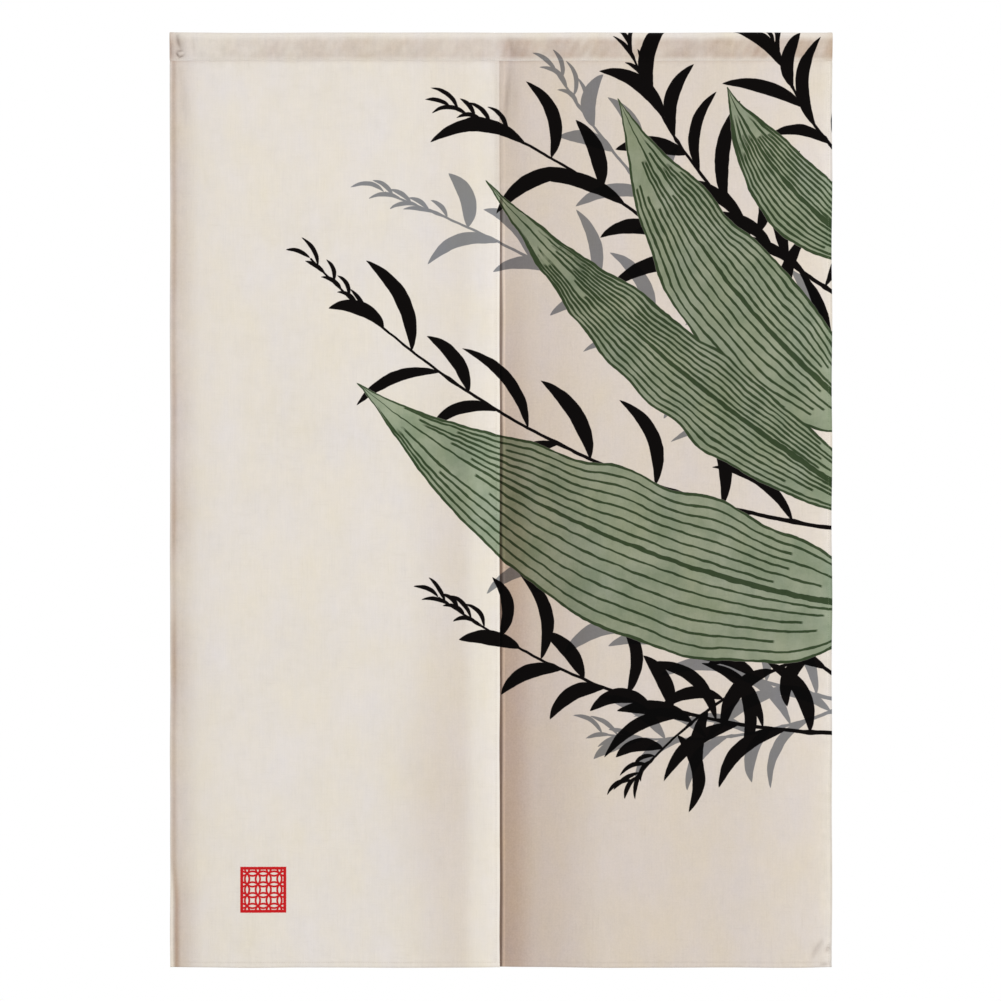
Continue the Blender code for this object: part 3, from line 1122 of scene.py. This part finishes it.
    def build(self) -> bpy.types.Object:
        """Make the cloth, keep its print, dress it and fit it into the frame."""
        back = self.set_back(self.across, self.height)
        left, right, foot = self.from_edges(self.across, self.height)
        edge_wave = 0.00035 * ripple(self.seed + 4, 0.19, self.height)
        across = self.across + edge_wave * (bell(left / 0.02) + bell(right / 0.02))
        height = self.height + 0.0002 * ripple(self.seed + 5, 0.15, self.across) * bell(foot / 0.03)
        middle = np.stack([across, back, height], axis=-1)
        piece, source = closed_sheet(self.name, middle, self.half_thickness(self.across, self.height))
        print_on = Print(self.across, self.height)
        print_on.lay_leaves(LEAVES)
        blacks, greys = print_on.lay_reeds()
        values = {"tone": self.tone(), **print_on.kept}
        keep_on_points(piece, source, values, np.stack([self.across, self.height], axis=-1))
        LOG.info("%s: %d black and %d grey stroke layers", self.name, blacks, greys)
        finish = ClothFinish(f"{self.name}_print", seal=self.seal, slit_shadow=self.lap_side > 0.0)
        piece.data.materials.append(finish.material(values))
        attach(piece, "root")
        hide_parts(self.node)
        return piece

    def stitch_lines(self) -> list[tuple[Array, Array]]:
        """Flat places along the side hems and the foot hem, where their stitches run."""
        rows = np.arange(-0.040, -DROP + FOOT_STITCH, -StitchRow.PITCH)
        columns = np.arange(self.start + 0.006, self.end - 0.006, StitchRow.PITCH)
        return [
            (np.full_like(rows, self.start + SIDE_STITCH), rows),
            (np.full_like(rows, self.end - SIDE_STITCH), rows),
            (columns, np.full_like(columns, -DROP + FOOT_STITCH)),
        ]


def from_ends(across: Array) -> Array:
    """Distance of places from the nearer end of the curtain's width."""
    return np.minimum(across + HALF_WIDTH, HALF_WIDTH - across)


@dataclass
class RodPocket:
    """The heading: one strip folded over the rod's way, its two lips on both sides of the panels."""

    panels: tuple[Panel, ...]
    name: str = "pocket_cloth"
    lip: float = 0.0364
    lip_apart: float = 0.00115
    seed: int = 40

    SEAM = -0.0345
    END_LINES = tuple(np.arange(0.0, 0.031, 0.0011))

    def section(self) -> tuple[Array, Array, Array]:
        """Heights, set-backs and lengths along the strip, from the front lip over to the back lip.

        Each side is straight from the lip to the crown, and the crown is an arc that both sides
        meet without a corner.
        """
        radius = POCKET_RADIUS - LAYER / 2
        sewn = -POCKET_DROP + 0.0030
        run = np.hypot(self.lip_apart, POCKET_RADIUS + sewn)
        tangent = np.arctan2(self.lip_apart, POCKET_RADIUS + sewn) - np.arccos(radius / run)
        turn = np.linspace(-tangent, tangent, 25)
        arc_y, arc_z = radius * np.sin(turn), radius * np.cos(turn) - POCKET_RADIUS
        sewing = [-self.lip, -self.lip + 0.0006, -0.0352, -0.0346, -0.0340, -0.0335]
        side_z = np.concatenate([sewing, np.linspace(sewn, arc_z[0], 23)])
        side_y = np.interp(side_z, [-self.lip, sewn, arc_z[0]], [-self.lip_apart, -self.lip_apart, arc_y[0]])
        height = np.concatenate([side_z[:-1], arc_z, side_z[-2::-1]])
        back = np.concatenate([side_y[:-1], arc_y, -side_y[-2::-1]])
        length = np.concatenate([[0.0], np.cumsum(np.hypot(np.diff(height), np.diff(back)))])
        return height, back, length

    def lips(self, across: Array) -> tuple[Array, Array]:
        """Set-backs of the front and back lips: each lies on whichever panel stands out most there.

        The outermost surface within 2 mm is taken, and then its mean over as much again.
        """
        fine = np.linspace(-HALF_WIDTH, HALF_WIDTH, 1701)
        level = np.full_like(fine, -POCKET_DROP - 0.0004)
        front, behind = np.full_like(fine, 1.0), np.full_like(fine, -1.0)
        for panel in self.panels:
            on = (fine >= panel.start) & (fine <= panel.end)
            middle, half = panel.set_back(fine, level), panel.half_thickness(fine, level)
            front = np.where(on, np.minimum(front, middle - half), front)
            behind = np.where(on, np.maximum(behind, middle + half), behind)
        sliding = np.lib.stride_tricks.sliding_window_view
        windows = [sliding(np.pad(y, 4, mode="edge"), 9) for y in (front, behind)]
        edges = [windows[0].min(axis=1) - 0.5 * LAYER, windows[1].max(axis=1) + 0.5 * LAYER]
        smooth = [np.convolve(np.pad(y, 4, mode="edge"), np.full(9, 1.0 / 9.0), mode="valid") for y in edges]
        return np.interp(across, fine, smooth[0]), np.interp(across, fine, smooth[1])

    def build(self) -> bpy.types.Object:
        """Make the heading, keep its tone and print, dress it and fit it into the frame."""
        height, back, length = self.section()
        inset = 0.5 * RIM * LAYER
        columns = spaced(-HALF_WIDTH + inset, HALF_WIDTH - inset, self.END_LINES, self.END_LINES)
        across, up = np.meshgrid(columns, height)
        run = np.broadcast_to(length[:, None], across.shape)
        front = run < 0.5 * length[-1]
        outward = np.where(front, -1.0, 1.0)
        above = eased(-POCKET_DROP + 0.002, -0.024, up)
        slack = 1.0 - 0.10 * above * (0.5 + 0.5 * ripple(self.seed, 0.17, across))
        end = from_ends(across)
        puckered = 0.45 * bell((across + HALF_WIDTH - 0.006) / 0.010) + 0.18 * bell(end / 0.008)
        back = back[:, None] * slack * (1.0 - above * puckered)
        lip_front, lip_back = self.lips(across)
        lie = np.where(front, lip_front + self.lip_apart, lip_back - self.lip_apart)
        back = back + lie * (1.0 - eased(-POCKET_DROP + 0.001, -0.022, up))
        press = bell((up - self.SEAM) / 0.0011)
        waves = ripple(self.seed + 1, 0.011, across) * bell((up + POCKET_DROP - 0.004) / 0.008)
        back = back - outward * (0.00014 * press + 0.00014 * waves * (up > -POCKET_DROP))
        back = back + outward * 0.00030 * above * ripple(self.seed + 2, 0.030, across, 0.35 * up)
        creased = sum(crease.set_back(across, up) for crease in POCKET_CREASES)
        back = back + np.where(front, creased, 0.0)
        sag = -0.0006 * above * (0.5 + 0.5 * ripple(self.seed + 3, 0.28, across))
        middle = np.stack([across, back, up + sag], axis=-1)
        hem = 1.0 - eased(SIDE_HEM, SIDE_HEM + HEM_STEP, end)
        lip_edge = bell((up + self.lip) / 0.0007)
        half = 0.5 * (LAYER + 0.0004 * hem) * (1.0 - 0.65 * lip_edge)
        order = slice(None, None, -1)
        piece, source = closed_sheet(self.name, middle[order], half[order])
        self.dress(piece, source, across[order], run[order], length[-1])
        return piece

    def dress(self, piece: bpy.types.Object, source: Array, across: Array, run: Array, whole: float) -> None:
        """Keep the strip's flat places, tone and print, and give it its finish.

        Its front is read upwards from the lip, and its back continues the same way over the top.
        The print stops at the top.
        """
        flat_height = run - self.lip
        front = run < 0.5 * whole
        end = from_ends(across)
        down = np.abs(run - 0.5 * whole)
        crown = bell(down / 0.0065)
        level = eased(0.0065, 0.0165, down) * (1.0 - eased(0.0325, 0.0425, down))
        drift = 1.0 + 0.15 * ripple(self.seed + 5, 0.045, across) + 0.13 * ripple(self.seed + 6, 0.018, across, run)
        age_and_shade = np.interp(across, BAND_PLACES, BAND_AGE_AND_SHADE) * (0.10 + 0.90 * level * drift)
        stained = np.where(across < 0.0, 0.56, 0.34)
        # Stained ends, and a painted highlight on the crown where the strip rounds over
        age_and_shade = age_and_shade + stained * np.exp(-end / 0.008) - 0.06 * crown
        shade = 1.0 + 0.02 * crown - 0.035 * eased(0.014, 0.036, down) * level
        smudge = 0.10 + 0.42 * level
        # Painted shade in the pocket's front creases
        painted_shade = np.where(front, crease_shade(POCKET_CREASES, across, flat_height), 0.0)
        values = {"tone": np.stack([age_and_shade, shade, smudge, painted_shade], axis=-1)}
        print_on = Print(across, flat_height)
        print_on.lay_reeds()
        for kept in print_on.kept.values():
            kept[~front, 1::2] = OFF_THE_PRINT
        values.update(print_on.kept)
        keep_on_points(piece, source, values, np.stack([across, flat_height], axis=-1))
        finish = ClothFinish("pocket_print")
        piece.data.materials.append(finish.material(values))
        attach(piece, "root")
        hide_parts("rod_pocket")


@dataclass
class StitchRow:
    """Running stitches along flat places on a cloth, as one joined mesh of short arched tubes."""

    name: str
    across: Array
    height: Array
    surface: Array
    upright: Array

    PITCH = 0.0030
    LONG = 0.0022
    THICK = 0.00017
    SIDES = 6
    RINGS = 5

    def build(self) -> bpy.types.Object:
        """Make every stitch at once.

        A stitch is an ellipse drawn out along its way: its ends dip into the cloth and its middle
        stands a thread's width above it. Every ring of every stitch is one array operation.
        """
        share = np.linspace(-1.0, 1.0, self.RINGS)
        round_way = np.linspace(0.0, 2.0 * np.pi, self.SIDES, endpoint=False)
        along = 0.5 * self.LONG * share
        lift = self.THICK * (1.1 - 1.9 * share**2)
        thick = self.THICK * np.sqrt(1.02 - share**2)
        ring_side = thick[:, None] * np.cos(round_way)
        ring_out = lift[:, None] + thick[:, None] * np.sin(round_way)
        run = np.broadcast_to(along[:, None], ring_side.shape)
        tall = self.upright[:, None, None]
        x = self.across[:, None, None] + np.where(tall, ring_side, run)
        z = self.height[:, None, None] + np.where(tall, run, ring_side)
        y = self.surface[:, None, None] - ring_out
        points = np.stack([x, y, z], axis=-1)
        count = len(self.across)
        ring = np.arange(self.RINGS * self.SIDES).reshape(self.RINGS, self.SIDES)
        turned = np.roll(ring, -1, axis=1)
        quads = np.stack([ring[:-1], turned[:-1], turned[1:], ring[1:]], axis=-1).reshape(-1, 4)
        # Two four-cornered faces close each six-sided end
        ends = np.array([[0, 5, 4, 3], [0, 3, 2, 1], [24, 25, 26, 27], [24, 27, 28, 29]])
        local = np.concatenate([quads, ends])
        base = np.arange(count)[:, None, None] * self.RINGS * self.SIDES
        faces = local[None] + base
        flipped = np.where(self.upright[:, None, None], faces[..., ::-1], faces)
        piece = put_mesh(self.name, points, flipped)
        inks = np.repeat(inks_at(self.across, self.height), self.RINGS * self.SIDES, axis=0)
        write_attribute(piece.data, "inks", inks)
        piece.data.materials.append(ThreadFinish(f"{self.name}_thread").material())
        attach(piece, "root")
        return piece


@dataclass(frozen=True)
class Studio:
    """Plain pale floor, soft lights, a white surround and a camera square to the curtain."""

    lens: float = 135.0
    sensor: float = 36.0
    view_across: float = 1.2843
    centre: tuple[float, float] = (-0.00064, -0.60064)
    floor_height: float = -2.0
    floor_radius: float = 5.0
    floor_sides: int = 96

    def build(self) -> None:
        """Make the camera, the lights, the surround and the floor."""
        scene = bpy.context.scene
        data = bpy.data.cameras.new("camera")
        data.lens, data.sensor_width = self.lens, self.sensor
        camera = bpy.data.objects.new("camera", data)
        distance = self.view_across * self.lens / self.sensor
        camera.location = (self.centre[0], -distance, self.centre[1])
        camera.rotation_euler = (np.pi / 2, 0.0, 0.0)
        scene.collection.objects.link(camera)
        scene.camera = camera
        self.light("key", (2.7, -2.3, 0.7), 1.6, 42.0, (1.0, 0.98, 0.95))
        self.light("fill", (-1.6, -3.6, 0.2), 3.0, 16.0, (0.97, 0.98, 1.0))
        world = bpy.data.worlds.new("surround")
        world.use_nodes = True
        world.node_tree.nodes["Background"].inputs[0].default_value = (1.0, 1.0, 1.0, 1.0)
        world.node_tree.nodes["Background"].inputs[1].default_value = 1.0
        scene.world = world
        scene.view_settings.view_transform = "Standard"
        self.floor()

    def light(self, name: str, place: tuple[float, float, float], size: float, power: float, colour: Colour) -> None:
        """One square soft light that points at the curtain's middle."""
        data = bpy.data.lights.new(name, "AREA")
        data.size, data.energy, data.color = size, power, colour
        lamp = bpy.data.objects.new(name, data)
        lamp.location = place
        aim = np.array([0.0, 0.0, -0.6]) - np.array(place)
        level = np.hypot(aim[0], aim[1])
        lamp.rotation_euler = (np.arctan2(level, -aim[2]), 0.0, np.arctan2(aim[1], aim[0]) - np.pi / 2)
        bpy.context.scene.collection.objects.link(lamp)

    def floor(self) -> None:
        """A flat disc: rings of four-cornered faces round the middle."""
        turn = np.linspace(0.0, 2.0 * np.pi, self.floor_sides, endpoint=False)
        radii = np.array([0.01, 1.0, self.floor_radius])
        x, y = radii[:, None] * np.cos(turn), radii[:, None] * np.sin(turn)
        points = np.stack([x, y, np.full_like(x, self.floor_height)], axis=-1)
        ring = np.arange(points.shape[0] * self.floor_sides).reshape(-1, self.floor_sides)
        turned = np.roll(ring, -1, axis=1)
        faces = np.stack([ring[:-1], ring[1:], turned[1:], turned[:-1]], axis=-1)
        disc = put_mesh("floor", points, faces)
        disc.data.materials.append(FloorFinish().material())


def seam_on(pocket: RodPocket) -> bpy.types.Object:
    """The seam below the rod's way, on the heading's front lip, from one end to the other."""
    across = np.arange(-HALF_WIDTH + 0.003, HALF_WIDTH - 0.003, StitchRow.PITCH)
    height = np.full_like(across, pocket.SEAM)
    surface = pocket.lips(across)[0] - 0.5 * LAYER + 0.00010
    return StitchRow("pocket_seam_stitches", across, height, surface, np.zeros(len(across), dtype=bool)).build()


def stitches_on(panel: Panel, name: str) -> bpy.types.Object:
    """The hem stitches of one panel, on its front."""
    lines = panel.stitch_lines()
    across = np.concatenate([line[0] for line in lines])
    height = np.concatenate([line[1] for line in lines])
    upright = np.concatenate([np.full(len(line[0]), which < 2) for which, line in enumerate(lines)])
    surface = panel.set_back(across, height) - 0.5 * HEM_LAYERS * 0.72
    return StitchRow(name, across, height, surface, upright).build()


def main() -> None:
    """Build every piece in order, and say the name and number of faces of each cloth and of the heading."""
    logging.basicConfig(level=logging.INFO, format="%(message)s")
    Studio().build()
    left = Panel("left_cloth", "panel_left", -HALF_WIDTH, SLIT_EDGE, LEFT_FOLDS, LEFT_CREASES, -1.0, Seal(), 60)
    start = SLIT_ACROSS - LAP
    right = Panel("right_cloth", "panel_right", start, HALF_WIDTH, RIGHT_FOLDS, RIGHT_CREASES, 1.0, None, 80)
    for panel in (left, right):
        piece = panel.build()
        stitches = stitches_on(panel, f"{panel.name}_hem_stitches")
        LOG.info("%s: %d faces", piece.name, len(piece.data.polygons))
    heading = RodPocket((left, right))
    pocket = heading.build()
    seam_on(heading)
    LOG.info("%s: %d faces", pocket.name, len(pocket.data.polygons))


if __name__ == "__main__":
    main()
